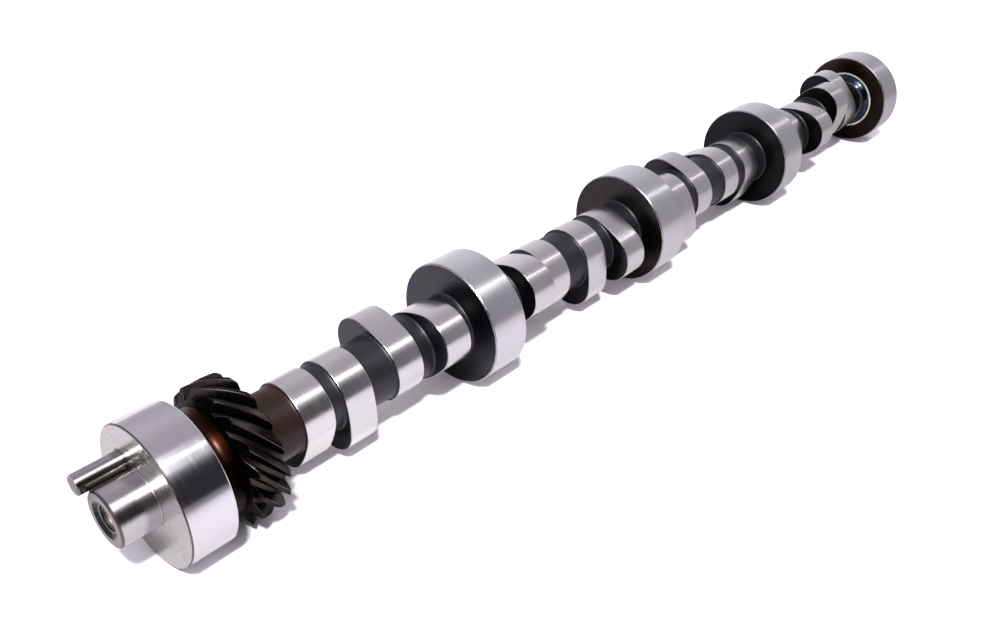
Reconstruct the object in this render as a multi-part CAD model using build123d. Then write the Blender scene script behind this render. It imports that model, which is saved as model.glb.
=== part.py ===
from build123d import *
from math import acos, cos, degrees, hypot, pi, radians, sin, tan
import os

os.makedirs("parts", exist_ok=True)

# The shaft lies along +X with its front end at the low end.  The origin is on its
# axis at the front journal's front face.  Angles round the axis run from +Y to +Z.
# Lengths are in millimetres and angles in degrees.

# Spacing
cylinder_pitch = 111.252
bay_count = 4

# Bearing journals
front_journal_diameter = 52.86
journal_step_down = 0.381
front_journal_width = 17.05
middle_journal_width = 17.65
rear_journal_set_back = 6.184
rear_journal_width = 17.43
journal_edge = 0.5

# Bare core
core_diameter = 26.5
corner_height = 0.9
corner_length = 1.2
rear_collar_radius = 3.4

# Snout and its bolt hole
snout_diameter = 20.8
snout_length = 13.85
snout_chamfer = 0.75
bolt_hole_diameter = 9.4
bolt_hole_depth = 32.0
bolt_mouth_diameter = 13.9
bolt_mouth_angle = 120.0
drill_point_angle = 118.0

# Dowel pin
pin_diameter = 7.6
pin_circle_diameter = 28.6
pin_angle = 41.9
pin_stand_out = 16.4
pin_depth = 12.0
pin_chamfer = 0.5

# Drive gear and the neck in front of it
gear_teeth = 16
gear_helix_angle = 53.7
gear_pressure_angle = 20.0
gear_outside_diameter = 52.2
gear_width = 13.8
gear_front_diameter = 40.0
gear_front_cone = 2.5
gear_rear_bevel = 0.7
gear_backlash = 0.1
gear_root_overlap = 0.8
gear_section_turn = 12.0
neck_width = 7.45
neck_diameter = 34.6
neck_wall_diameter = 39.0

# Cam lobes
lobe_base_diameter = 28.5
lobe_lift = 8.1
lobe_nose_radius = 12.2
lobe_flank_angle = 87.5
lobe_width = 12.6
gear_to_first_lobe = 15.4

# Middle of each lobe in a bay ahead of the journal behind it, as shares of the pitch
first_lobe_share = 0.763
second_lobe_share = 0.603
third_lobe_share = 0.381
fourth_lobe_share = 0.2111

# Valve timing
firing_order = [1, 3, 7, 2, 6, 5, 4, 8]
right_bank_angle = 45.0
left_bank_angle = 135.0
intake_centre = 239.9
exhaust_centre = 345.5

# Centre hole in the rear end
centre_mouth_diameter = 8.0
centre_mouth_angle = 60.0
centre_pilot_diameter = 3.0
centre_pilot_depth = 9.0

# Values that follow
front_radius = front_journal_diameter / 2
core_radius = core_diameter / 2
corner_top = core_radius + corner_height
gear_front = front_journal_width + neck_width
gear_full_height_start = gear_front + gear_front_cone
gear_rear = gear_front + gear_width
first_lobe_middle = gear_rear + gear_to_first_lobe + lobe_width / 2
second_journal_middle = first_lobe_middle + first_lobe_share * cylinder_pitch
middle_journal_count = bay_count - 1
rear_journal_middle = second_journal_middle + middle_journal_count * cylinder_pitch
rear_journal_start = rear_journal_middle - middle_journal_width / 2 + rear_journal_set_back
shaft_end = rear_journal_start + rear_journal_width
snout_radius = snout_diameter / 2
base_radius = lobe_base_diameter / 2
gear_radius = gear_outside_diameter / 2
module_across = gear_radius / (gear_teeth / 2 + cos(radians(gear_helix_angle)))
module_normal = module_across * cos(radians(gear_helix_angle))
pitch_radius = gear_teeth * module_across / 2
gear_root_radius = pitch_radius - 1.25 * module_normal
gear_lead = 2 * pi * pitch_radius / tan(radians(gear_helix_angle))


# ---------------------------------------------------------------- shared shapes
def polar(angle, distance):
    """Point at an angle and a distance from the origin of a sketch."""
    return (distance * cos(radians(angle)), distance * sin(radians(angle)))


def across_axis(place, turn=0.0):
    """Plane square to the shaft, its own x direction turned from +Y towards +Z."""
    y, z = polar(turn, 1)
    return Plane(origin=(place, 0, 0), x_dir=(0, y, z), z_dir=(1, 0, 0))


def turned(outline):
    """Solid turned about the shaft's axis from a half outline."""
    with BuildPart() as made:
        with BuildSketch(Plane.XY):
            with BuildLine():
                Polyline(*outline, close=True)
            make_face()
        revolve(axis=Axis.X)
    return made.part


# ---------------------------------------------------------------- layout
def journals():
    """Start, end and radius of every journal, front to rear."""
    step = journal_step_down / 2
    found = [(0.0, front_journal_width, front_radius)]
    for number in range(middle_journal_count):
        middle = second_journal_middle + number * cylinder_pitch
        start = middle - middle_journal_width / 2
        radius = front_radius - (number + 1) * step
        found.append((start, start + middle_journal_width, radius))
    last_radius = front_radius - (middle_journal_count + 1) * step
    found.append((rear_journal_start, shaft_end, last_radius))
    return found


def bay_lobes(bay):
    """Front faces of the lobes in one bay."""
    shares = [first_lobe_share, second_lobe_share, third_lobe_share, fourth_lobe_share]
    behind = second_journal_middle + bay * cylinder_pitch
    return [behind - share * cylinder_pitch - lobe_width / 2 for share in shares]


def valve_angle(cylinder, valve_centre):
    """Way a nose points: the bank, less the cam's turn to firing, plus the valve's centre."""
    bank = right_bank_angle if cylinder <= bay_count else left_bank_angle
    turn = firing_order.index(cylinder) * 360.0 / len(firing_order)
    return (bank - turn + valve_centre) % 360.0


def bay_nose_angles(bay):
    """Right intake, left exhaust, right exhaust and left intake."""
    right = bay + 1
    left = right + bay_count
    return [
        valve_angle(right, intake_centre),
        valve_angle(left, exhaust_centre),
        valve_angle(right, exhaust_centre),
        valve_angle(left, intake_centre),
    ]


# ---------------------------------------------------------------- turned body
def snout_outline():
    """Out from the axis, round the snout's end and back to the front journal."""
    Polyline(
        (0, 0),
        (-snout_length, 0),
        (-snout_length, snout_radius - snout_chamfer),
        (-snout_length + snout_chamfer, snout_radius),
        (0, snout_radius),
    )


def journal_outline(start, end, radius, front_inner, rear_inner):
    """Front face, running surface with broken edges, and rear face."""
    Polyline(
        (start, front_inner),
        (start, radius - journal_edge),
        (start + journal_edge, radius),
        (end - journal_edge, radius),
        (end, radius - journal_edge),
        (end, rear_inner),
    )


def neck_outline():
    """Rounded groove behind the front journal, running on inside the gear to the core."""
    wall = neck_wall_diameter / 2
    middle = (front_journal_width + gear_front) / 2
    ThreePointArc(
        (front_journal_width, wall),
        (middle, neck_diameter / 2),
        (gear_front, wall),
    )
    Polyline(
        (gear_front, wall),
        (gear_full_height_start, wall),
        (gear_full_height_start, corner_top),
        (gear_rear, corner_top),
    )


def core_outline(start, end):
    """Bare core between two faces, rising at each to a sloped corner."""
    Polyline(
        (start, corner_top),
        (start + corner_length, core_radius),
        (end - corner_length, core_radius),
        (end, corner_top),
    )


def rear_collar_outline(start, end):
    """Bare core that sweeps up into the rear journal's front face."""
    sweep_start = end - rear_collar_radius
    top = core_radius + rear_collar_radius
    Polyline((start, corner_top), (start + corner_length, core_radius), (sweep_start, core_radius))
    CenterArc((sweep_start, top), rear_collar_radius, 270, 90)
    return top


def bay_outline(bay, here):
    """Core from one place through the bay's lobes; gives back the place it ends."""
    for lobe_start in bay_lobes(bay):
        core_outline(here, lobe_start)
        here = lobe_start + lobe_width
        Line((lobe_start, corner_top), (here, corner_top))
    return here


def turned_body():
    """All that is round about the axis, revolved from one half outline."""
    front, *middle, rear = journals()
    with BuildPart() as body:
        with BuildSketch(Plane.XY):
            with BuildLine():
                snout_outline()
                journal_outline(*front, snout_radius, neck_wall_diameter / 2)
                neck_outline()
                here = gear_rear
                for bay, (start, end, radius) in enumerate(middle):
                    here = bay_outline(bay, here)
                    core_outline(here, start)
                    journal_outline(start, end, radius, corner_top, corner_top)
                    here = end
                here = bay_outline(bay_count - 1, here)
                collar_top = rear_collar_outline(here, rear[0])
                journal_outline(*rear, collar_top, 0)
                Line((shaft_end, 0), (0, 0))
            make_face()
        revolve(axis=Axis.X)
    return body.part


# ---------------------------------------------------------------- cam lobes
def lobe_flank_radius():
    """Radius of the arc that touches the base circle and the nose arc."""
    nose_distance = base_radius + lobe_lift - lobe_nose_radius
    flank = radians(lobe_flank_angle)
    across = base_radius**2 + nose_distance**2 - lobe_nose_radius**2
    across = across - 2 * base_radius * nose_distance * cos(flank)
    return across / (2 * (base_radius - lobe_nose_radius - nose_distance * cos(flank)))


def flank_arc(side):
    """One flank, from the base circle to the nose arc; side is 1 or -1."""
    radius = lobe_flank_radius()
    nose_distance = base_radius + lobe_lift - lobe_nose_radius
    ux, uy = polar(side * lobe_flank_angle, 1)
    cx = -(radius - base_radius) * ux
    cy = -(radius - base_radius) * uy
    reach = hypot(nose_distance - cx, cy)
    ex = cx + radius * (nose_distance - cx) / reach
    ey = cy - radius * cy / reach
    start = (base_radius * ux, base_radius * uy)
    mx = (start[0] + ex) / 2 - cx
    my = (start[1] + ey) / 2 - cy
    middle = (cx + radius * mx / hypot(mx, my), cy + radius * my / hypot(mx, my))
    ThreePointArc(start, middle, (ex, ey))
    return start, (ex, ey)


def lobe(place, nose_angle):
    """One cam lobe: base circle, two flank arcs and a nose arc."""
    with BuildPart() as made:
        with BuildSketch(across_axis(place, nose_angle)):
            with BuildLine():
                base_left, nose_left = flank_arc(1)
                base_right, nose_right = flank_arc(-1)
                ThreePointArc(nose_left, (base_radius + lobe_lift, 0), nose_right)
                ThreePointArc(base_left, (-base_radius, 0), base_right)
            make_face()
        extrude(amount=lobe_width)
    return made.part


def lobes():
    """Every lobe of the shaft, front to rear."""
    made = []
    for bay in range(bay_count):
        for place, nose_angle in zip(bay_lobes(bay), bay_nose_angles(bay)):
            made.append(lobe(place, nose_angle))
    return made


# ---------------------------------------------------------------- helical gear
def involute(angle):
    """Involute function of an angle in radians."""
    return tan(angle) - angle


def tooth_half_angle(radius):
    """Half the angle that a tooth spans at a radius, in degrees."""
    pressure = radians(gear_pressure_angle)
    across = tan(pressure) / cos(radians(gear_helix_angle))
    base = pitch_radius / hypot(1, across)
    at_pitch = acos(base / pitch_radius)
    at_radius = acos(base / radius)
    half = (pi * module_across / 2 - gear_backlash) / (2 * pitch_radius)
    return degrees(half + involute(at_pitch) - involute(at_radius))


def tooth_section(place):
    """Tooth across the shaft at a place along it, turned as far as the helix has."""
    turn = (place - gear_rear) * 360.0 / gear_lead
    top = gear_radius + 0.3
    sunk = gear_root_radius - gear_root_overlap
    root_half = tooth_half_angle(gear_root_radius)
    pitch_half = tooth_half_angle(pitch_radius)
    top_half = tooth_half_angle(top)
    with BuildSketch(across_axis(place, turn)) as section:
        with BuildLine():
            Line(polar(-root_half, sunk), polar(-root_half, gear_root_radius))
            ThreePointArc(
                polar(-root_half, gear_root_radius),
                polar(-pitch_half, pitch_radius),
                polar(-top_half, top),
            )
            Line(polar(-top_half, top), polar(top_half, top))
            ThreePointArc(
                polar(top_half, top),
                polar(pitch_half, pitch_radius),
                polar(root_half, gear_root_radius),
            )
            Line(polar(root_half, gear_root_radius), polar(root_half, sunk))
            Line(polar(root_half, sunk), polar(-root_half, sunk))
        make_face()
    return section.sketch


def drive_gear():
    """Helical gear: the floor between the teeth, every tooth, and the blank they are cut in."""
    past = 0.6
    start = gear_front - past
    end = gear_rear + past
    steps = round((end - start) * 360.0 / gear_lead / gear_section_turn)
    places = [start + (end - start) * step / steps for step in range(steps + 1)]
    tooth = loft([tooth_section(place) for place in places])
    teeth = [Rot(X=number * 360.0 / gear_teeth) * tooth for number in range(gear_teeth)]
    floor = turned([(start, 0), (start, gear_root_radius), (end, gear_root_radius), (end, 0)])
    blank = turned([
        (gear_front, 0),
        (gear_front, gear_front_diameter / 2),
        (gear_full_height_start, gear_radius),
        (gear_rear - gear_rear_bevel, gear_radius),
        (gear_rear, gear_radius - gear_rear_bevel),
        (gear_rear, 0),
    ])
    return (floor + teeth) & blank


# ---------------------------------------------------------------- holes
def bolt_hole():
    """Countersunk blind hole up the snout with a drill point."""
    mouth = bolt_mouth_diameter / 2
    wall = bolt_hole_diameter / 2
    mouth_depth = (mouth - wall) / tan(radians(bolt_mouth_angle / 2))
    point_depth = wall / tan(radians(drill_point_angle / 2))
    face = -snout_length
    return turned([
        (face, 0),
        (face, mouth),
        (face + mouth_depth, wall),
        (face + bolt_hole_depth, wall),
        (face + bolt_hole_depth + point_depth, 0),
    ])


def centre_hole():
    """Coned centre hole with a pilot, in the rear end."""
    mouth = centre_mouth_diameter / 2
    wall = centre_pilot_diameter / 2
    mouth_depth = (mouth - wall) / tan(radians(centre_mouth_angle / 2))
    point_depth = wall / tan(radians(drill_point_angle / 2))
    return turned([
        (shaft_end, 0),
        (shaft_end, mouth),
        (shaft_end - mouth_depth, wall),
        (shaft_end - centre_pilot_depth, wall),
        (shaft_end - centre_pilot_depth - point_depth, 0),
    ])


def pin_centre():
    """Where the pin stands on the front journal's face."""
    return polar(pin_angle, pin_circle_diameter / 2)


def pin_hole():
    """Blind hole the pin is pressed into, the pin's own diameter."""
    with BuildPart() as cutter:
        with BuildSketch(across_axis(0)):
            with Locations(pin_centre()):
                Circle(pin_diameter / 2)
        extrude(amount=pin_depth)
    return cutter.part


# ---------------------------------------------------------------- the two pieces
def camshaft():
    """The shaft, made in one piece."""
    solid = turned_body() + drive_gear() + lobes()
    return solid - bolt_hole() - centre_hole() - pin_hole()


def dowel_pin():
    """Round pin with both ends broken, seated in its hole."""
    with BuildPart() as pin:
        with BuildSketch(across_axis(-pin_stand_out)):
            with Locations(pin_centre()):
                Circle(pin_diameter / 2)
        extrude(amount=pin_stand_out + pin_depth)
        chamfer(pin.edges().filter_by(GeomType.CIRCLE), pin_chamfer)
    return pin.part


export_step(camshaft(), "parts/camshaft.step")
export_step(dowel_pin(), "parts/dowel_pin.step")
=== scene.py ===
"""Camshaft: turned body, helical drive gear, sixteen lobes and the timing dowel pin."""
from math import acos, atan2, cos, hypot, pi, radians, sin, tan

import bpy
import numpy as np
from mathutils import Matrix, Vector

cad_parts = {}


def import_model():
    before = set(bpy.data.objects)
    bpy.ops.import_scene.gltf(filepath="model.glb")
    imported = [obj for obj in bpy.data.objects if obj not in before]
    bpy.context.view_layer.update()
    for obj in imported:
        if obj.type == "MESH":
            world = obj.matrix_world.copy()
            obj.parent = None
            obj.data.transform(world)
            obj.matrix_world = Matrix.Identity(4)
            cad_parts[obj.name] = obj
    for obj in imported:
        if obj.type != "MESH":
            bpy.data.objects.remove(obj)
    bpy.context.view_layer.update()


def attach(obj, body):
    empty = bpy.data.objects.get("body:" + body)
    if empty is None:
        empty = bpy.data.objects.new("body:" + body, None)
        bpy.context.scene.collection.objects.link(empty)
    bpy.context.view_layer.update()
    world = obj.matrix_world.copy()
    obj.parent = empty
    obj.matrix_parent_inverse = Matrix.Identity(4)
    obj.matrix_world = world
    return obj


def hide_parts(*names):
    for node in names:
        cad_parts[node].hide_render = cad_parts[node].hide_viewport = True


MM = 0.001

# Journals and core, in millimetres
cylinder_pitch = 111.252
front_radius = 26.43
journal_step = 0.1905
front_width = 17.05
middle_start = 136.06
middle_width = 17.65
rear_start = 476.0
rear_width = 17.43
core_radius = 13.25

# Broken edge of a journal: its size, and how far in and how deep its middle ring lies
journal_edge = 0.5
edge_in = 0.15
edge_deep = 0.2
front_edge_in = 0.12
front_edge_deep = 0.25

# Hollow corners of the core: their least length, and their height at a lobe, a journal and the last
corner_length = 1.2
lobe_corner = 0.7
journal_corner = 0.9
rear_corner = 3.4

# Snout, with its chamfer and the relief at its foot
snout_radius = 10.4
snout_length = 13.85
snout_chamfer = 0.75
chamfer_in = 0.2
chamfer_deep = 0.45
snout_first_ring = -13.0
snout_last_ring = -0.45
relief_start = 0.3
relief_end = 0.22
relief_depth = 0.12
relief_foot = 0.05

# Bolt hole and its thread; the angle is from the axis to the side of the coned mouth
hole_radius = 4.7
hole_depth = 32.0
hole_point = 2.6
hole_mouth = 6.95
mouth_angle = 60.0
thread_radius = 5.35
thread_pitch = 1.814
thread_end_gap = 3.0
thread_mouth_gap = 0.6
point_radius = 0.3

# Rings at the inner rim of that mouth: how far behind it, how much wider than the hole, finish
mouth_rings = (
    (0.5, 0.0, "mouth"),
    (0.1, 0.0, "mouth"),
    (-0.05, 0.1, "end face"),
    (-0.35, 0.62, "mouth"),
)
mouth_lip_in = 0.08
mouth_lip_deep = 0.1

# Centre hole in the rear face
centre_radius = 1.5
centre_mouth = 4.0
centre_mouth_depth = 4.33
centre_depth = 9.0
centre_point = 0.8
centre_point_radius = 0.1

# Dowel pin: its place on the front face, on a circle at an angle in degrees, and its rounded ends
pin_radius = 3.8
pin_stand_out = 16.4
pin_depth = 12.0
pin_circle = 14.3
pin_angle = 41.9
pin_free_round = 0.55
pin_deep_round = 0.5
pin_y = pin_circle * cos(radians(pin_angle))
pin_z = pin_circle * sin(radians(pin_angle))

# Drive gear, its dedendum in modules, and the neck in front of it
gear_teeth = 16
gear_helix = 53.7
gear_pressure = 20.0
gear_radius = 26.1
gear_front = 24.5
gear_rear = 38.3
gear_full = 27.0
gear_front_radius = 20.0
gear_bevel = 0.7
gear_backlash = 0.1
tooth_corner = 0.16
gear_dedendum = 1.25
neck_radius = 17.3
neck_wall = 19.5
neck_end_margin = 1.0

# Transverse module and pitch radius that these give the gear
gear_module = gear_radius / (gear_teeth / 2 + cos(radians(gear_helix)))
gear_pitch = gear_teeth * gear_module / 2

# Lobes: where those of the first bay start, and the angle of each nose in degrees, bay by bay
base_radius = 14.25
lobe_lift = 8.1
nose_radius = 12.2
flank_angle = 87.5
lobe_width = 12.6
lobe_edge = 0.25
lobe_edge_in = 0.08
lobe_edge_deep = 0.09
rim_shares = (0.03, 0.27, 0.5, 0.73, 0.97)
lobe_starts = (53.7, 71.5, 96.2, 115.1)
nose_angles = (
    (285, 255, 30, 150),
    (150, 300, 255, 195),
    (240, 30, 345, 285),
    (15, 165, 120, 60),
)

# How far a piece reaches into its neighbour, the gap from a corner's last ring to the wall's first,
# and how far from its rims a face has the rings that keep it flat
overlap = 1.0
ring_gap = 0.02
face_margin = 0.08

# Points round a turned ring and their angles
around = 288
angle = np.arange(around) * 2 * pi / around

# Points along the floor, a flank and the land of one tooth
floor_points = 5
flank_points = 9
land_points = 3

# Degrees past which an edge is sharp
sharp_past = 28.0

black = (0.0, 0.0, 0.0)
white = (1.0, 1.0, 1.0)


# ---------------------------------------------------------------- surfaces
def closed_surface(name, place, radius, turn, finishes, strips, centre=(0.0, 0.0)):
    """A surface swept along the shaft and closed by a point at each end.

    Ring i is the curve (place[i], radius[i, j] * cos(turn[i, j]), radius[i, j] * sin(turn[i, j]))
    moved to a centre; neighbouring rings are joined by four-sided faces, and the first and
    last rings by triangles to a point on the centre line."""
    rings, steps = radius.shape
    place = np.broadcast_to(np.asarray(place, dtype=float).reshape(rings, -1), (rings, steps))
    points = np.stack(
        (place, centre[0] + radius * np.cos(turn), centre[1] + radius * np.sin(turn)), axis=-1
    ).reshape(-1, 3)
    ends = np.array([[place[0, 0], *centre], [place[-1, 0], *centre]])
    points = np.vstack((points, ends)) * MM
    ring, step = np.meshgrid(np.arange(rings - 1), np.arange(steps), indexing="ij")
    near = ring * steps + step
    beside = ring * steps + (step + 1) % steps
    quads = np.stack((near, beside, beside + steps, near + steps), axis=-1).reshape(-1, 4)
    first = np.arange(steps)
    after = (first + 1) % steps
    last = (rings - 1) * steps
    front = np.stack((np.full(steps, rings * steps), after, first), axis=-1)
    back = np.stack((np.full(steps, rings * steps + 1), last + first, last + after), axis=-1)
    corners = np.concatenate((quads.ravel(), front.ravel(), back.ravel()))
    sizes = np.concatenate((np.full(len(quads), 4), np.full(2 * steps, 3)))
    slots = np.concatenate(
        (np.repeat(strips, steps), np.full(steps, strips[0]), np.full(steps, strips[-1]))
    )
    mesh = bpy.data.meshes.new(name)
    mesh.vertices.add(len(points))
    mesh.vertices.foreach_set("co", points.ravel())
    mesh.loops.add(len(corners))
    mesh.loops.foreach_set("vertex_index", corners)
    mesh.polygons.add(len(sizes))
    mesh.polygons.foreach_set("loop_start", np.concatenate(([0], np.cumsum(sizes)[:-1])))
    for finish in finishes:
        mesh.materials.append(finish)
    mesh.polygons.foreach_set("material_index", slots)
    mesh.update(calc_edges=True)
    mesh.validate()
    mesh.polygons.foreach_set("use_smooth", np.ones(len(sizes), dtype=bool))
    mesh.set_sharp_from_angle(angle=radians(sharp_past))
    piece = bpy.data.objects.new(name, mesh)
    bpy.context.scene.collection.objects.link(piece)
    return piece


class Profile:
    """Rings of a piece in order along its surface, and the finish of the strip after each."""

    def __init__(self):
        self.places, self.radii, self.strips = [], [], []

    def ring(self, place, radius, strip):
        """One ring: its place along the shaft and its radius, one for all angles or one for each."""
        self.places.append(place)
        self.radii.append(np.broadcast_to(np.asarray(radius, dtype=float), angle.shape))
        self.strips.append(strip)

    def rings(self, places, radii, strip):
        """Round rings that share a finish."""
        for place, radius in zip(places, np.broadcast_to(radii, np.shape(places))):
            self.ring(place, radius, strip)

    def face(self, place, inner, outer, strip, last):
        """Flat face between two radii, with a ring close to each so that its shading stays flat."""
        inner, outer = np.asarray(inner, dtype=float), np.asarray(outer, dtype=float)
        way = np.sign((outer - inner).mean())
        for size in (inner, inner + face_margin * way, outer - face_margin * way):
            self.ring(place, size, strip)
        self.ring(place, outer, last)

    def band(self, start, end, radius, rim, edge):
        """Ground journal from the end of its front edge to the middle of its rear edge.

        The rear edge has the finish rim before its middle ring and edge after it."""
        inside = journal_edge + edge_in
        self.ring(start + journal_edge, radius, "journal")
        self.rings(np.linspace(start + inside, end - inside, 5), radius, "journal")
        self.ring(end - journal_edge, radius, rim)
        self.ring(end - edge_in, radius - edge_deep, edge)

    def piece(self, name, steel):
        """The closed surface through all the rings, its materials in the order they are met."""
        radii = np.array(self.radii)
        turn = np.broadcast_to(angle, radii.shape)
        strips = self.strips[:-1]
        used = list(dict.fromkeys(strips))
        slots = [used.index(strip) for strip in strips]
        return closed_surface(name, self.places, radii, turn, [steel[word] for word in used], slots)


def corner_up(wall, radius, height, length, count=7):
    """Hollow quarter of an ellipse from the core up to a wall that lies beyond it.

    The place is wall - length + length * sin(t), the radius + height - height * cos(t)."""
    t = np.linspace(0, pi / 2, count)
    return wall - length + length * np.sin(t), radius + height - height * np.cos(t)


def corner_down(wall, radius, height, length, count=7):
    """The same corner from a wall down to the core behind it."""
    t = np.linspace(0, pi / 2, count)
    return wall + length - length * np.cos(t), radius + height - height * np.sin(t)


def lobe_outline(nose):
    """Distance of a lobe's edge from the axis at every angle.

    At the angle b from the nose, in the direction u, a ray meets the nose arc of radius n, whose
    centre lies d from the axis, at d cos b + sqrt(n^2 - d^2 sin^2 b), the flank arc of radius R
    about c at c.u + sqrt(R^2 - c.c + (c.u)^2), and else the base circle."""
    apart = np.abs((np.degrees(angle) - nose + 180.0) % 360.0 - 180.0)
    b = np.radians(apart)
    d = base_radius + lobe_lift - nose_radius
    flank = radians(flank_angle)
    over = base_radius**2 + d**2 - nose_radius**2 - 2 * base_radius * d * cos(flank)
    flank_radius = over / (2 * (base_radius - nose_radius - d * cos(flank)))
    along = -(flank_radius - base_radius) * cos(flank)
    aside = -(flank_radius - base_radius) * sin(flank)
    share = nose_radius / (flank_radius - nose_radius)
    meet = np.degrees(atan2(-aside * share, d + (d - along) * share))
    nose_arc = d * np.cos(b) + np.sqrt(np.maximum(nose_radius**2 - (d * np.sin(b)) ** 2, 0))
    reach = along * np.cos(b) + aside * np.sin(b)
    flank_arc = reach + np.sqrt(flank_radius**2 - along**2 - aside**2 + reach**2)
    return np.where(apart < meet, nose_arc, np.where(apart < flank_angle, flank_arc, base_radius))


# ---------------------------------------------------------------- shader sums
def opaque(colour):
    """A colour with its fourth number."""
    return (*colour, 1.0)


def set_stops(elements, stops):
    """Gives a ramp its stops, each a place from 0 to 1 and a colour."""
    while len(elements) < len(stops):
        elements.new(1.0)
    while len(elements) > len(stops):
        elements.remove(elements[-1])
    for element, (place, colour) in zip(elements, stops):
        element.position = place
        element.color = opaque(colour)


class Tone:
    """A socket of a node tree.  Sums and products of tones and numbers add Math nodes."""

    def __init__(self, tree, socket=None):
        self.tree, self.socket = tree, socket

    def node(self, kind, settings=None, values=None, give=0):
        """Adds a node: its settings or ramp stops first, then the values or links of its sockets."""
        made = self.tree.nodes.new(kind)
        for key, value in (settings or {}).items():
            if key == "stops":
                set_stops(made.color_ramp.elements, value)
            else:
                setattr(made, key, value)
        for key, value in (values or {}).items():
            if isinstance(value, Tone):
                self.tree.links.new(value.socket, made.inputs[key])
            else:
                made.inputs[key].default_value = value
        return Tone(self.tree, made.outputs[give] if len(made.outputs) else None)

    def ramp(self, stops):
        """The colour that a ramp through the stops has at this tone."""
        return self.node("ShaderNodeValToRGB", {"stops": stops}, {"Fac": self})

    def maths(self, operation, *others):
        """A Math node on this tone and others."""
        values = dict(enumerate((self, *others)))
        return self.node("ShaderNodeMath", {"operation": operation}, values)

    def __add__(self, other):
        return self.maths("ADD", other)

    __radd__ = __add__

    def __sub__(self, other):
        return self.maths("SUBTRACT", other)

    def __rsub__(self, other):
        return self.node("ShaderNodeMath", {"operation": "SUBTRACT"}, {0: other, 1: self})

    def __mul__(self, other):
        return self.maths("MULTIPLY", other)

    __rmul__ = __mul__

    def __truediv__(self, other):
        return self.maths("DIVIDE", other)

    def __rtruediv__(self, other):
        return self.node("ShaderNodeMath", {"operation": "DIVIDE"}, {0: other, 1: self})

    def step(self, low, high, start=0.0, end=1.0):
        """Smooth rise from start to end as this tone goes from low to high."""
        return self.node(
            "ShaderNodeMapRange",
            {"interpolation_type": "SMOOTHSTEP"},
            {"Value": self, "From Min": low, "From Max": high, "To Min": start, "To Max": end},
        )

    def band(self, middle, half, soft):
        """One inside a band round a value and zero outside it."""
        return 1.0 - (self - middle).maths("ABSOLUTE").step(half, half + soft)

    def mix(self, one, other):
        """Colour one where this tone is 0 and the other where it is 1."""
        one, other = (opaque(side) if isinstance(side, tuple) else side for side in (one, other))
        return self.node(
            "ShaderNodeMix", {"data_type": "RGBA"}, {0: self, 6: one, 7: other}, give=2
        )

    def noise(self, where, scale, detail=2.0, rough=0.5):
        """Noise from 0 to 1 at a place, its size set by the scale."""
        return self.node(
            "ShaderNodeTexNoise", None,
            {"Vector": where, "Scale": scale, "Detail": detail, "Roughness": rough},
        )

    def vector(self, x, y, z):
        """A vector made of three tones or numbers."""
        return self.node("ShaderNodeCombineXYZ", None, {0: x, 1: y, 2: z})

    def parts(self, count=3):
        """The first numbers of this vector."""
        return [self.node("ShaderNodeSeparateXYZ", None, {0: self}, give) for give in range(count)]


def distance(across, up):
    """Length of the vector (across, up)."""
    return (across * across + up * up).maths("SQRT")


def fresh_tree(owner):
    """Turns on the nodes of a material or world, clears them and gives a tone to start from."""
    owner.use_nodes = True
    owner.node_tree.nodes.clear()
    return Tone(owner.node_tree)


class Finish:
    """A material with the tones every finish of the shaft is made from."""

    def __init__(self, name):
        self.material = bpy.data.materials.new(name)
        self.start = fresh_tree(self.material)
        self.here = self.start.node("ShaderNodeTexCoord", give="Object")
        self.x, self.y, self.z = self.here.parts()
        self.radius = distance(self.y, self.z)
        self.way = self.z.maths("ARCTAN2", self.y)

    def ground_lines(self, fine, length=30.0):
        """Grinding lines round the shaft: noise drawn out round it and close along it."""
        drawn = self.start.vector(self.x * fine, self.y * length, self.z * length)
        return self.start.noise(drawn, 1.0, 3.0, 0.6)

    def turned_lines(self, fine, length=25.0):
        """Turning lines on a face: noise that is close along the radius and long round it."""
        drawn = self.start.vector(self.radius * fine, self.y * length, self.z * length)
        return self.start.noise(drawn, 1.0, 3.0, 0.6)

    def patches(self, scale, low, high):
        """Cloudy patches from 0 to 1."""
        return self.start.noise(self.here, scale, 3.0, 0.55).step(low, high)

    def done(self, colour, roughness, metallic=1.0, height=None, depth=0.0, specular=0.5, slant=1.0):
        """The shader of the finish, with its relief; slant is its brightness at a slant."""
        values = {
            "Base Color": colour, "Roughness": roughness, "Metallic": metallic,
            "Specular IOR Level": specular, "Specular Tint": opaque((slant, slant, slant)),
        }
        if height is not None:
            values["Normal"] = self.start.node(
                "ShaderNodeBump", None, {"Height": height, "Strength": 1.0, "Distance": depth}
            )
        shader = self.start.node("ShaderNodeBsdfPrincipled", None, values)
        self.start.node("ShaderNodeOutputMaterial", None, {"Surface": shader})
        return self.material


# ---------------------------------------------------------------- kinds of finish
def ground_steel(name, pale, dull, low, high, fine=5200.0, depth=0.000008, further=0.0):
    """Ground and polished steel: bright, with fine grooves round the shaft, rougher further along."""
    finish = Finish(name)
    lines = finish.ground_lines(fine)
    broad = finish.ground_lines(900.0, 14.0)
    cloud = finish.patches(38.0, 0.35, 0.7)
    colour = (lines.step(0.3, 0.75) * 0.4 + cloud * 0.35).mix(pale, dull)
    rough = lines.step(0.25, 0.8, low, high) + broad.step(0.45, 0.75, 0.0, 0.04)
    rough = rough + finish.x.step(0.02, 0.14, 0.0, further)
    return finish.done(colour, rough, 1.0, lines, depth)


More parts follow.
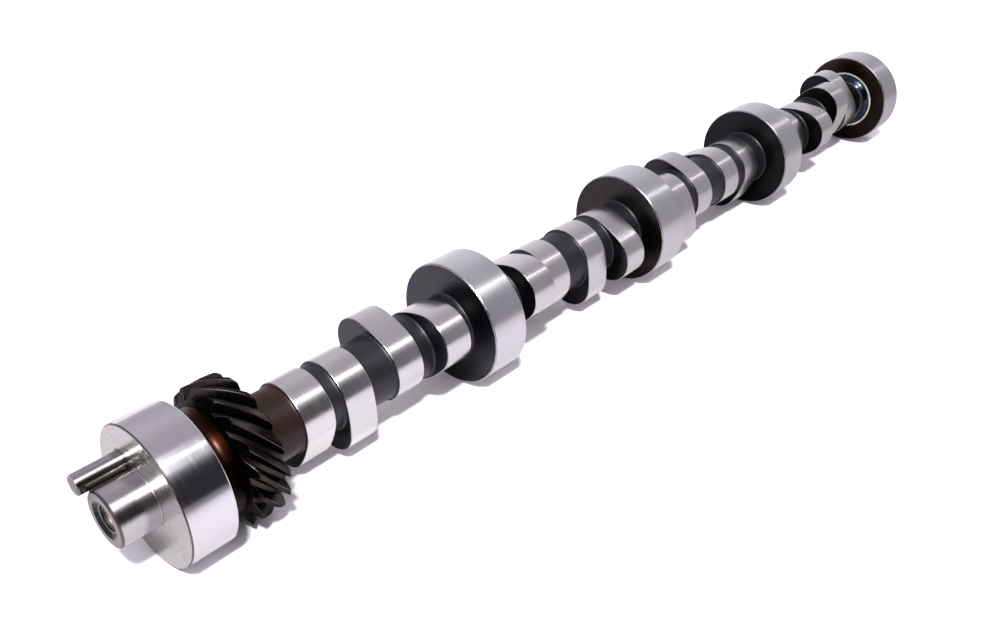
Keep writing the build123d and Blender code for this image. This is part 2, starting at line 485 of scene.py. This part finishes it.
def face_steel(name, pale, dull, rough=0.2):
    """Turned face: lines about the axis, radial streaks painted as sheen, stains, small pits, painted
    shade beside the pin and a dark ring at its joint.
    """
    pit_tone, pin_shade_tone = (0.05, 0.045, 0.05), (0.05, 0.045, 0.04)
    pin_across, pin_up = pin_y * MM, pin_z * MM
    finish = Finish(name)
    start = finish.start
    lines = finish.turned_lines(3800.0)
    # Radial streaks painted as sheen: they stand in for the light a turned face throws back.
    sheen_spokes = start.noise(start.vector(finish.way * 26.0, finish.radius * 60.0, 0.0), 1.0, 3.0, 0.6)
    stain = finish.patches(120.0, 0.5, 0.72)
    pits = start.noise(finish.here, 900.0, 2.0, 0.6).step(0.66, 0.72)
    marks_and_sheen = lines.step(0.3, 0.75) * 0.4 + sheen_spokes.step(0.45, 0.8) * 0.35 + stain * 0.25
    colour = (pits * 0.7).mix(marks_and_sheen.mix(pale, dull), pit_tone)
    # Painted shade beside the pin: a darker patch offset to its lower near side, where its shadow and
    # the mirror image of its dark side fall.
    away = distance(finish.y - (pin_across - 0.0024), finish.z - (pin_up - 0.0012))
    pin_shade = (away + start.noise(finish.here, 500.0) * 0.003).step(0.0048, 0.0078, 1.0, 0.0)
    ring = distance(finish.y - pin_across, finish.z - pin_up).step(0.0040, 0.0047, 1.0, 0.0)
    colour = (pin_shade * 0.75).maths("MAXIMUM", ring * 0.85).mix(colour, pin_shade_tone)
    rough = lines.step(0.2, 0.8, rough, rough + 0.08) + pits * 0.3
    return finish.done(colour, rough, 1.0, lines, 0.0000015)


def scaled_steel(name, stops, rough, grainy=0.2, metal=1.0, specular=0.5,
                 painted_shade_share=0.0, low=-0.021, high=-0.008):
    """Heat-darkened skin: satin and mottled.

    A stop gives a place along the shaft in metres, a dark and a warm colour. Painted shade
    darkens the colour by the given share as the height falls from high to low."""
    ramp_length = 0.5
    grain_tone = (0.02, 0.02, 0.024)
    finish = Finish(name)
    cloud = finish.patches(70.0, 0.5, 0.78)
    grain = finish.start.noise(finish.here, 1500.0, 3.0, 0.7)
    lines = finish.turned_lines(1400.0)
    place = finish.x / ramp_length
    dark = place.ramp([(stop[0] / ramp_length, stop[1]) for stop in stops])
    warm = place.ramp([(stop[0] / ramp_length, stop[2]) for stop in stops])
    colour = (grain.step(0.35, 0.75) * grainy).mix(cloud.mix(dark, warm), grain_tone)
    # Painted shade: darker towards the bottom.
    colour = finish.z.step(low, high, painted_shade_share, 0.0).mix(colour, black)
    rough = grain.step(0.2, 0.8, rough - 0.05, rough + 0.07) + lines.step(0.3, 0.8, 0.0, 0.04)
    return finish.done(colour, rough, metal, grain + lines * 0.5, 0.000006, specular)


def edge_steel(name, tone):
    """Broken edges: worn bright, dulled in places."""
    finish = Finish(name)
    wear = finish.patches(300.0, 0.4, 0.65)
    colour = (wear * 0.3).mix(tone, (0.10, 0.07, 0.065))
    return finish.done(colour, wear.step(0.0, 1.0, 0.22, 0.36))


def gear_steel(name, dark, brown, low, high):
    """Cut teeth, oily and blackened, with painted shade that is darkest at the bottom."""
    finish = Finish(name)
    lines = finish.ground_lines(2600.0, 60.0)
    cloud = finish.patches(90.0, 0.42, 0.7)
    rough = lines.step(0.2, 0.8, low, high)
    # Painted shade: the teeth darken towards the bottom.
    colour = finish.z.step(-0.020, -0.006, 0.8, 0.0).mix(cloud.mix(dark, brown), black)
    return finish.done(colour, rough, 1.0, lines, 0.000004, slant=0.5)


def hole_steel(name, pale, dull):
    """Inside of the bolt hole and its coned mouth."""
    finish = Finish(name)
    cloud = finish.patches(400.0, 0.4, 0.7)
    return finish.done(cloud.mix(pale, dull), cloud.step(0.0, 1.0, 0.28, 0.5))


# ---------------------------------------------------------------- finishes
def journal_steel():
    """The five ground journals, a little rougher towards the rear."""
    return ground_steel(
        "journal_steel", (0.82, 0.805, 0.83), (0.72, 0.705, 0.73), 0.1, 0.17, further=0.08
    )


def snout_steel():
    """Ground side of the snout."""
    return ground_steel("snout_steel", (0.62, 0.595, 0.61), (0.50, 0.475, 0.49), 0.13, 0.22)


def lobe_steel():
    """Ground rims of the lobes, with deeper grooves."""
    return ground_steel(
        "lobe_steel", (0.82, 0.80, 0.785), (0.72, 0.70, 0.685), 0.16, 0.25, 4200.0, 0.00002
    )


def front_face_steel():
    """Turned face of the front journal."""
    return face_steel("front_face_steel", (0.57, 0.555, 0.54), (0.40, 0.38, 0.36), 0.23)


def snout_face_steel():
    """End of the snout, also seen at the inner rim of the hole's mouth."""
    return face_steel("snout_face_steel", (0.22, 0.202, 0.198), (0.13, 0.108, 0.10))


def rim_steel():
    """Edges of the lobes and of all journals but the first."""
    return edge_steel("edge_steel", (0.5, 0.48, 0.5))


def front_rim_steel():
    """Darker edges of the snout and the front journal."""
    return edge_steel("front_edge_steel", (0.2, 0.15, 0.14))


def neck_steel():
    """Neck between front journal and gear: near black, with an orange heat tint at its rear, kept to
    its top by painted shade on the lower part.
    """
    # The share and heights at the end set painted shade on the lower part of the neck.
    return scaled_steel("neck_steel", [
        (0.0, (0.025, 0.018, 0.016), (0.06, 0.028, 0.02)),
        (0.0215, (0.016, 0.010, 0.009), (0.04, 0.015, 0.010)),
        (0.0243, (0.06, 0.014, 0.005), (0.60, 0.13, 0.016)),
    ], 0.3, grainy=0.35, painted_shade_share=0.93, low=0.003, high=0.014)


def front_core_steel():
    """Core between the gear and the first lobe: dull brown, redder at its rear."""
    return scaled_steel("front_core_steel", [
        (0.045, (0.011, 0.0042, 0.0032), (0.019, 0.0055, 0.004)),
        (0.053, (0.016, 0.0045, 0.0035), (0.075, 0.012, 0.008)),
    ], 0.36, metal=0.0, specular=0.27)


def core_steel():
    """Blackened core between the lobes."""
    return scaled_steel("core_steel", [
        (0.0, (0.004, 0.004, 0.006), (0.006, 0.005, 0.0065)),
    ], 0.4, metal=0.0)


def tempered_steel():
    """Rear corner, polished: blue on the core, then a pale painted highlight and straw colour up the
    corner.
    """
    finish = Finish("tempered_steel")
    cloud = finish.patches(170.0, 0.42, 0.66)
    rise = (finish.radius - core_radius * MM) / 0.0035
    # The pale stop at 0.82 is a painted highlight: with the metal share lowered there, the lamp lights
    # a pale ring that stands in for the bright reflection near the top of the corner.
    temper_and_highlight = rise.ramp([
        (0.0, (0.12, 0.13, 0.17)), (0.3, (0.055, 0.07, 0.095)), (0.6, (0.04, 0.062, 0.085)),
        (0.82, (0.60, 0.74, 0.78)), (0.97, (0.55, 0.30, 0.12)),
    ])
    soot = cloud * (0.8 - rise.step(0.6, 0.9) * 0.7)
    colour = soot.mix(temper_and_highlight, (0.02, 0.025, 0.035))
    return finish.done(colour, cloud.step(0.0, 1.0, 0.12, 0.24), rise.step(0.6, 0.8, 1.0, 0.25))


def wall_steel():
    """Sides of the gear, lobes and journals: brown at both ends, grey to black between, with painted
    shade on their lower parts and on the first lobe's front face.
    """
    return scaled_steel("wall_steel", [
        (0.0, (0.065, 0.045, 0.045), (0.12, 0.055, 0.045)),
        (0.046, (0.065, 0.045, 0.045), (0.12, 0.055, 0.045)),
        # Painted shade: these dark stops at the first lobe's front face stand in for the gear's shadow
        # on the floor that the face mirrors.
        (0.0525, (0.018, 0.013, 0.013), (0.035, 0.018, 0.016)),
        (0.0545, (0.018, 0.013, 0.013), (0.035, 0.018, 0.016)),
        (0.058, (0.070, 0.067, 0.081), (0.078, 0.073, 0.081)),
        (0.20, (0.067, 0.063, 0.074), (0.075, 0.066, 0.074)),
        (0.245, (0.044, 0.041, 0.041), (0.068, 0.043, 0.038)),
        (0.30, (0.050, 0.047, 0.056), (0.064, 0.055, 0.060)),
        (0.355, (0.025, 0.026, 0.028), (0.032, 0.029, 0.030)),
        (0.465, (0.022, 0.022, 0.024), (0.03, 0.026, 0.026)),
        (0.475, (0.05, 0.032, 0.026), (0.11, 0.046, 0.028)),
    ], 0.3, grainy=0.25, painted_shade_share=0.7)


def tooth_steel():
    """Flanks, lands and floors of the gear's teeth."""
    return gear_steel("gear_steel", (0.042, 0.037, 0.036), (0.072, 0.051, 0.041), 0.2, 0.34)


def tooth_corner_highlight_steel():
    """Corners along the lands of the teeth, painted lighter as a highlight."""
    return gear_steel("gear_edge_highlight_steel", (0.17, 0.155, 0.155), (0.07, 0.06, 0.055), 0.2, 0.3)


def bore_steel():
    """Threaded wall of the bolt hole."""
    return hole_steel("hole_steel", (0.60, 0.56, 0.53), (0.26, 0.23, 0.20))


def shaded_mouth_steel():
    """Coned mouth of the bolt hole, painted dark as the shade inside it."""
    return hole_steel("hole_mouth_steel", (0.036, 0.038, 0.037), (0.016, 0.017, 0.017))


def pin_steel():
    """Drawn pin, with painted shade on its lower near side.

    The shade grows with ((y - yc) * -0.6 + (z - zc) * -0.8) / radius, for the pin's centre (yc, zc)."""
    pale, dull, dark_side_tone = (0.54, 0.515, 0.51), (0.40, 0.38, 0.37), (0.12, 0.115, 0.085)
    finish = Finish("pin_steel")
    lines = finish.ground_lines(3000.0)
    side = (finish.y - pin_y * MM) * -0.6 + (finish.z - pin_z * MM) * -0.8
    # Painted shade: the lower near side darkens towards a dark tone.
    painted_dark_side = (side / (pin_radius * MM)).step(-0.1, 0.45, 0.0, 0.85)
    colour = painted_dark_side.mix((lines.step(0.3, 0.75) * 0.5).mix(pale, dull), dark_side_tone)
    return finish.done(colour, lines.step(0.25, 0.8, 0.13, 0.2), 1.0, lines, 0.000001)


def pin_end_steel():
    """Free end of the pin."""
    return face_steel("pin_end_steel", (0.58, 0.565, 0.59), (0.38, 0.36, 0.37))


def shaft_finishes():
    """Every finish of the shaft and its pin, by the word that the pieces use for it."""
    return {
        "journal": journal_steel(),
        "snout": snout_steel(),
        "lobe": lobe_steel(),
        "face": front_face_steel(),
        "end face": snout_face_steel(),
        "edge": rim_steel(),
        "front edge": front_rim_steel(),
        "neck": neck_steel(),
        "front core": front_core_steel(),
        "core": core_steel(),
        "tempered": tempered_steel(),
        "wall": wall_steel(),
        "tooth": tooth_steel(),
        "tooth corner": tooth_corner_highlight_steel(),
        "bore": bore_steel(),
        "mouth": shaded_mouth_steel(),
        "pin": pin_steel(),
        "pin end": pin_end_steel(),
    }


# ---------------------------------------------------------------- pieces
def bolt_hole(body):
    """Rings from the point of the hole out to its coned mouth.

    The thread has a whole number of turns. After t of them its ring is at deepest - length * t
    / count, with the radius of the crest where t is whole and of the root at each half."""
    bottom = hole_depth - snout_length
    inner = (hole_mouth - hole_radius) / tan(radians(mouth_angle)) - snout_length
    body.ring(bottom + hole_point, point_radius, "bore")
    body.ring(bottom, hole_radius, "bore")
    deepest = bottom - thread_end_gap
    length = deepest - (inner + thread_mouth_gap)
    count = round(length / thread_pitch)
    turns = np.arange(0.0, count + 0.5, 0.5)
    crest = turns % 1.0 == 0.0
    body.rings(deepest - length * turns / count, np.where(crest, hole_radius, thread_radius), "bore")
    for behind, above, finish in mouth_rings:
        body.ring(inner + behind, hole_radius + above, finish)
    body.ring(-snout_length + mouth_lip_in, hole_mouth - mouth_lip_deep, "mouth")


def snout(body):
    """Rings from the end face of the snout back to the relief at its foot."""
    body.face(-snout_length, hole_mouth, snout_radius - snout_chamfer, "end face", "front edge")
    body.ring(-snout_length + chamfer_in, snout_radius - chamfer_deep, "front edge")
    body.ring(-snout_length + snout_chamfer, snout_radius, "snout")
    body.rings(np.linspace(snout_first_ring, snout_last_ring, 6), snout_radius, "snout")
    body.ring(-relief_start, snout_radius, "front edge")
    body.ring(-relief_end, snout_radius - relief_depth, "face")


def neck(body):
    """Hollow neck between the front journal and the gear, ending inside the gear.

    From -1 at one end through 0 in the middle to 1 at the other, the radius at a share s is the
    neck's own plus s^2 times what the wall has over it."""
    middle = (front_width + gear_front) / 2
    half = (gear_front - front_width) / 2
    share = np.linspace(-1.0, 1.0, 17)
    body.rings(middle + half * share, neck_radius + (neck_wall - neck_radius) * share**2, "neck")
    end = gear_front + overlap
    body.rings([end, end], [neck_wall, neck_wall - neck_end_margin], "neck")


def front_end(steel):
    """Bolt hole, snout, front journal and the neck behind it."""
    body = Profile()
    bolt_hole(body)
    snout(body)
    foot = snout_radius - relief_foot
    body.face(0.0, foot, front_radius - journal_edge, "face", "front edge")
    body.ring(front_edge_in, front_radius - front_edge_deep, "front edge")
    body.band(0.0, front_width, front_radius, "journal", "front edge")
    body.face(front_width, front_radius - journal_edge, neck_wall, "neck", "neck")
    neck(body)
    return body.piece("front_end", steel)


def tooth_half_angle(radius):
    """Half the angle a tooth spans at a radius: half the pitch-circle share less the backlash,
    plus the involute of the pressure angle at the pitch circle, less that at the radius."""
    across = tan(radians(gear_pressure)) / cos(radians(gear_helix))
    base = gear_pitch / hypot(1, across)
    at_pitch = acos(base / gear_pitch)
    at_radius = np.arccos(base / radius)
    half = (pi * gear_module / 2 - gear_backlash) / (2 * gear_pitch)
    return half + tan(at_pitch) - at_pitch - (np.tan(at_radius) - at_radius)


def gear_blank():
    """Places of the gear's rings, and the radius of the blank at each.

    The radius grows evenly along the front cone, stays, and shrinks evenly down the rear bevel."""
    cone_rings, full_rings, bevel_rings = 16, 40, 4
    bevel = gear_rear - gear_bevel
    places = np.concatenate((
        np.linspace(gear_front, gear_full, cone_rings),
        np.linspace(gear_full, bevel, full_rings)[1:],
        np.linspace(bevel, gear_rear, bevel_rings)[1:],
    ))
    blank = np.interp(
        places, [gear_front, gear_full, bevel, gear_rear],
        [gear_front_radius, gear_radius, gear_radius, gear_radius - gear_bevel],
    )
    return places, blank


def tooth_section(blank):
    """Angles and radii of the points over one tooth, at every ring of the blank.

    They run along the floor, up an involute flank, over the land and down the other flank, and
    no point stands above the blank."""
    root = gear_pitch - gear_dedendum * gear_module * cos(radians(gear_helix))
    top = np.maximum(blank - root, 0)[:, None]
    height = root + (top - tooth_corner).clip(0) * np.linspace(0, 1, flank_points)
    half = tooth_half_angle(height)
    tip = root + top
    tip_half = tooth_half_angle(tip) - tooth_corner / gear_radius
    middle = pi / gear_teeth
    floor = np.linspace(-1, 1, floor_points) * (middle - half[:, :1]) - middle
    land = tip_half * np.linspace(-1, 1, land_points)
    turn = np.concatenate((floor, -half[:, 1:], land, half[:, :0:-1]), axis=1)
    low = np.repeat(np.minimum(blank, root)[:, None], floor_points, axis=1)
    tips = np.repeat(tip, land_points, axis=1)
    size = np.concatenate((low, height[:, 1:], tips, height[:, :0:-1]), axis=1)
    return turn, np.minimum(size, blank[:, None])


def drive_gear(steel):
    """Helical gear: the section of one tooth, repeated round the blank and twisted along it.

    At a place x the whole ring is turned by 360 (x - rear) / lead degrees."""
    flank, corner, end = range(3)
    places, blank = gear_blank()
    turn, size = tooth_section(blank)
    count = size.shape[1]
    steps = gear_teeth * count
    lead = 2 * pi * gear_pitch / tan(radians(gear_helix))
    tooth = np.arange(gear_teeth)[None, :, None] * 2 * pi / gear_teeth
    twist = ((places - gear_rear) / lead * 2 * pi)[:, None, None]
    turn = (turn[:, None, :] + tooth + twist).reshape(len(places), steps)
    size = np.tile(size, (1, gear_teeth))
    finishes = [steel["tooth"], steel["tooth corner"], steel["wall"]]
    strips = [flank] * (len(places) - 1)
    piece = closed_surface("drive_gear", places, size, turn, finishes, strips)
    point = np.arange(steps) % count
    before_land = floor_points + flank_points - 2
    beside_land = (point == before_land) | (point == before_land + land_points)
    slots = np.full(len(piece.data.polygons), flank, dtype=np.int32)
    slots[:-2 * steps].reshape(-1, steps)[:, beside_land] = corner
    slots[-2 * steps:] = end
    piece.data.polygons.foreach_set("material_index", slots)
    return piece


def lobe(body, front, nose, behind):
    """One lobe: its front face, its rim between two broken edges, and its rear face.

    The rings of the rim and of its edges have the outline less a constant, so that an edge
    keeps its width round the nose."""
    back = front + lobe_width
    outline = lobe_outline(nose)
    foot = core_radius + lobe_corner + ring_gap
    body.face(front, foot, outline - lobe_edge, "wall", "edge")
    body.ring(front + lobe_edge_in, outline - lobe_edge_deep, "edge")
    body.ring(front + lobe_edge, outline, "lobe")
    for share in rim_shares:
        body.ring(front + lobe_width * share, outline, "lobe")
    body.ring(back - lobe_edge, outline, "edge")
    body.ring(back - lobe_edge_in, outline - lobe_edge_deep, "edge")
    body.face(back, outline - lobe_edge, foot, "wall", behind)


def cam_bay(number, start, journal, width, radius, steel):
    """Core, four lobes and the journal behind them, starting inside the piece in front.

    The last bay has the centre hole in its rear face."""
    lead = "front core" if number == 0 else "core"
    trail = "tempered" if number == 3 else "core"
    body = Profile()
    body.ring(start - overlap, core_radius, lead)
    here = start
    before = lead
    for first, nose in zip(lobe_starts, nose_angles[number]):
        front = first + number * cylinder_pitch
        behind = "core" if first < lobe_starts[-1] else trail
        body.rings(*corner_down(here, core_radius, lobe_corner, corner_length), before)
        body.rings(*corner_up(front, core_radius, lobe_corner, corner_length), before)
        lobe(body, front, nose, behind)
        here = front + lobe_width
        before = behind
    body.rings(*corner_down(here, core_radius, lobe_corner, corner_length), trail)
    corner = rear_corner if number == 3 else journal_corner
    length = max(corner, corner_length)
    body.rings(*corner_up(journal, core_radius, corner, length, count=11), trail)
    body.face(journal, core_radius + corner + ring_gap, radius - journal_edge, "wall", "edge")
    body.ring(journal + edge_in, radius - edge_deep, "edge")
    end = journal + width
    body.band(journal, end, radius, "edge", "edge")
    if number == 3:
        body.face(end, radius - journal_edge, centre_mouth, "wall", "wall")
        places = [end - centre_mouth_depth, end - centre_depth, end - centre_depth - centre_point]
        body.rings(places, [centre_radius, centre_radius, centre_point_radius], "wall")
    else:
        body.face(end, radius - journal_edge, core_radius, "wall", "wall")
    return body.piece("cam_bay_%d" % (number + 1), steel)


def cam_bays(steel):
    """The four bays in order, each starting where the journal in front of it ends."""
    pieces = []
    start = gear_rear
    for number in range(4):
        journal = rear_start if number == 3 else middle_start + number * cylinder_pitch
        width = rear_width if number == 3 else middle_width
        radius = front_radius - (number + 1) * journal_step
        pieces.append(cam_bay(number, start, journal, width, radius, steel))
        start = journal + width
    return pieces


def timing_pin(steel):
    """Pressed pin with each end rounded by a quarter circle.

    On a rounding of radius r and at the angle t, the place is r - r cos(t) in from the free end
    or r - r sin(t) in from the deep one, and the radius is pin - r + r sin(t) or cos(t)."""
    steps, body_rings, edge_rings = 96, 8, 5
    inner_ring, margin = 1.0, 1.0
    free, deep = -pin_stand_out, pin_depth
    t = np.linspace(0, pi / 2, edge_rings)
    places = np.concatenate((
        [free], free + pin_free_round - pin_free_round * np.cos(t),
        np.linspace(free + margin, deep - margin, body_rings),
        deep - pin_deep_round + pin_deep_round * np.sin(t),
    ))
    sizes = np.concatenate((
        [inner_ring], pin_radius - pin_free_round + pin_free_round * np.sin(t),
        np.full(body_rings, pin_radius),
        pin_radius - pin_deep_round + pin_deep_round * np.cos(t),
    ))
    radii = np.broadcast_to(sizes[:, None], (len(sizes), steps))
    turns = np.broadcast_to(np.arange(steps) * 2 * pi / steps, radii.shape)
    side, end = range(2)
    strips = [end] + [side] * (len(sizes) - 2)
    finishes = [steel["pin"], steel["pin end"]]
    return closed_surface("timing_pin", places, radii, turns, finishes, strips, (pin_y, pin_z))


# ---------------------------------------------------------------- studio
def studio_world():
    """Soft room: pale lilac all round, a long bright strip overhead, and dim on the near side.

    Lift is the angle about the shaft's axis, from 0 on the far side over the top to 180 on the
    near side, and x is how far a way points along the shaft. That room is what steel mirrors:
    matt surfaces get a soft light from above instead, and the camera sees white."""
    strip_colour = (2.3, 2.25, 2.33)
    world = bpy.data.worlds.new("studio")
    bpy.context.scene.world = world
    start = fresh_tree(world)
    x, y, z = start.node("ShaderNodeTexCoord", give="Generated").parts()
    lift = z.maths("ARCTAN2", y) * (180.0 / pi)
    half_turn = lift / 180.0
    front = half_turn.ramp([
        (0.0, (0.53, 0.505, 0.57)), (0.09, (0.45, 0.43, 0.485)), (0.28, (0.54, 0.515, 0.585)),
        (0.38, (0.44, 0.42, 0.475)), (0.5, (0.40, 0.38, 0.43)), (1.0, (0.40, 0.38, 0.43)),
    ])
    back = half_turn.ramp([
        (0.0, (0.82, 0.805, 0.87)), (0.10, (0.70, 0.685, 0.74)), (0.23, (0.64, 0.625, 0.68)),
        (0.36, (0.49, 0.48, 0.52)), (0.48, (0.40, 0.385, 0.43)), (1.0, (0.42, 0.405, 0.45)),
    ])
    near = x.ramp([
        (0.30, (0.02, 0.019, 0.022)), (0.38, (0.023, 0.021, 0.025)), (0.5, (0.09, 0.082, 0.097)),
        (0.60, (0.34, 0.325, 0.37)), (1.0, (0.34, 0.325, 0.37)),
    ])
    sky = x.step(0.36, 0.56).mix(front, back)
    wide = x.step(0.285, 0.315, 1.0, 0.0)
    middle = x.step(0.395, 0.44) * x.step(0.555, 0.61, 1.0, 0.0)
    rise = (lift + wide * 10.0).step(108.2, 112.5)
    fall = (lift - wide * 14.5 - middle * 11.0).step(111.5, 117.0)
    strip = (rise - fall) * x.step(0.8, 0.9, 1.0, 0.12)
    dim = (lift - wide * 8.0 - middle * 6.0).step(122.0, 138.0)
    mirrored = strip.mix(dim.mix(sky, near), strip_colour)
    soft = z.step(0.2, 1.0, 0.06, 1.6)
    dull = start.node("ShaderNodeLightPath", give="Is Diffuse Ray")
    colour = dull.mix(mirrored, start.vector(soft, soft * 0.96, soft * 1.02))
    seen = start.node("ShaderNodeLightPath", give="Is Camera Ray")
    colour = seen.mix(colour, white)
    shade = start.node("ShaderNodeBackground", None, {"Color": colour, "Strength": 1.0})
    start.node("ShaderNodeOutputWorld", None, {"Surface": shade})


def floor_finish():
    """Matt pale floor that keeps the shadow, white far away and dimmer where the steel mirrors it.

    Level sets how much of the matt floor that mirror image keeps, and dims it along the shaft as
    painted shade; beside is the stretch by the gear, darkened there as a painted shadow, and close a
    strip along the near side of the shaft where it glows as painted light."""
    material = bpy.data.materials.new("pale_floor")
    start = fresh_tree(material)
    x, y = start.node("ShaderNodeTexCoord", give="Object").parts(2)
    matt = start.node("ShaderNodeBsdfDiffuse", None, {"Color": opaque((0.9, 0.865, 0.925))})
    seen = start.node("ShaderNodeLightPath", give="Is Camera Ray")
    glossy = start.node("ShaderNodeLightPath", give="Is Glossy Ray")
    level = x.step(0.02, 0.46, 0.92, 0.46) * x.step(0.45, 0.85, 1.0, 0.5)
    level = level * (y + x * 0.9).step(-0.24, -0.05, 0.15, 1.0)
    level = level + (1.0 - level) * y.step(0.02, 0.3)
    # Painted shadow and light in the mirror image: beside darkens the stretch by the gear, close adds a
    # glowing strip along the near side of the shaft.
    beside = x.band(0.034, 0.008, 0.006)
    close = y.band(-0.011, 0.005, 0.008) * x.step(0.0, 0.02) * (1.0 - beside)
    level = level * (1.0 - beside * y.step(-0.03, -0.015) * 0.75)
    strength = seen + glossy * (close * x.step(0.15, 0.45, 0.35, 0.08) + 0.12)
    glow = start.node("ShaderNodeEmission", None, {"Color": opaque(white), "Strength": strength})
    far = (x * x + y * y).step(1.0, 4.0, 0.01, 1.0)
    share = seen * far + glossy * (1.0 - level * 0.57)
    both = start.node("ShaderNodeMixShader", None, {0: share, 1: matt, 2: glow})
    start.node("ShaderNodeOutputMaterial", None, {"Surface": both})
    return material


def studio_floor():
    """Large square that the front journal stands on."""
    half, height = 8.0, -front_radius * MM
    sides = ((-half, -half), (half, -half), (half, half), (-half, half))
    mesh = bpy.data.meshes.new("floor")
    mesh.from_pydata([(x, y, height) for x, y in sides], [], [(0, 1, 2, 3)])
    mesh.materials.append(floor_finish())
    floor = bpy.data.objects.new("floor", mesh)
    bpy.context.scene.collection.objects.link(floor)


def studio_lamp():
    """Round lamp high above the near side, towards the front of the shaft."""
    width, power, away = 0.25, 120.0, 3.0
    aim = Vector((0.2, 0.0, 0.0))
    way = Vector((-0.44, -0.52, 1.0)).normalized()
    lamp = bpy.data.lights.new("key", "AREA")
    lamp.shape = "DISK"
    lamp.size = width
    lamp.energy = power
    holder = bpy.data.objects.new("key", lamp)
    holder.location = aim + way * away
    holder.rotation_mode = "QUATERNION"
    holder.rotation_quaternion = way.to_track_quat("Z", "Y")
    bpy.context.scene.collection.objects.link(holder)


def studio_camera():
    """Camera above the near side, before the front end, looking back along the shaft.

    The size of the view, its focal length and its middle are in pixels."""
    view_width, view_height = 1000.0, 630.0
    focal, middle_across, middle_down = 1037.4, 539.53, 282.90
    sensor = 36.0
    place = Vector((-104.69, -260.33, 227.87)) * MM
    right = Vector((0.66059, -0.75075, 0.0))
    down = Vector((-0.38199, -0.33611, -0.86088))
    ahead = Vector((0.6463, 0.5687, -0.5088))
    data = bpy.data.cameras.new("camera")
    data.sensor_fit = "HORIZONTAL"
    data.sensor_width = sensor
    data.lens = focal / view_width * sensor
    data.shift_x = -(middle_across - view_width / 2) / view_width
    data.shift_y = (middle_down - view_height / 2) / view_width
    data.clip_start = 0.01
    data.clip_end = 50.0
    holder = bpy.data.objects.new("camera", data)
    turn = Matrix((right, -down, -ahead)).transposed()
    holder.matrix_world = Matrix.Translation(place) @ turn.to_4x4()
    bpy.context.scene.collection.objects.link(holder)
    bpy.context.scene.camera = holder


def main():
    """The studio, and the shaft's pieces and the pin attached to the root body in place of the CAD
    parts they hide.
    """
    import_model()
    studio_camera()
    studio_world()
    studio_floor()
    studio_lamp()
    bpy.context.scene.view_settings.view_transform = "Standard"

    steel = shaft_finishes()
    pieces = [front_end(steel), drive_gear(steel), *cam_bays(steel)]
    for piece in pieces:
        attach(piece, "root")
        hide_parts("camshaft")
    peg = timing_pin(steel)
    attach(peg, "root")
    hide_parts("dowel_pin")


main()
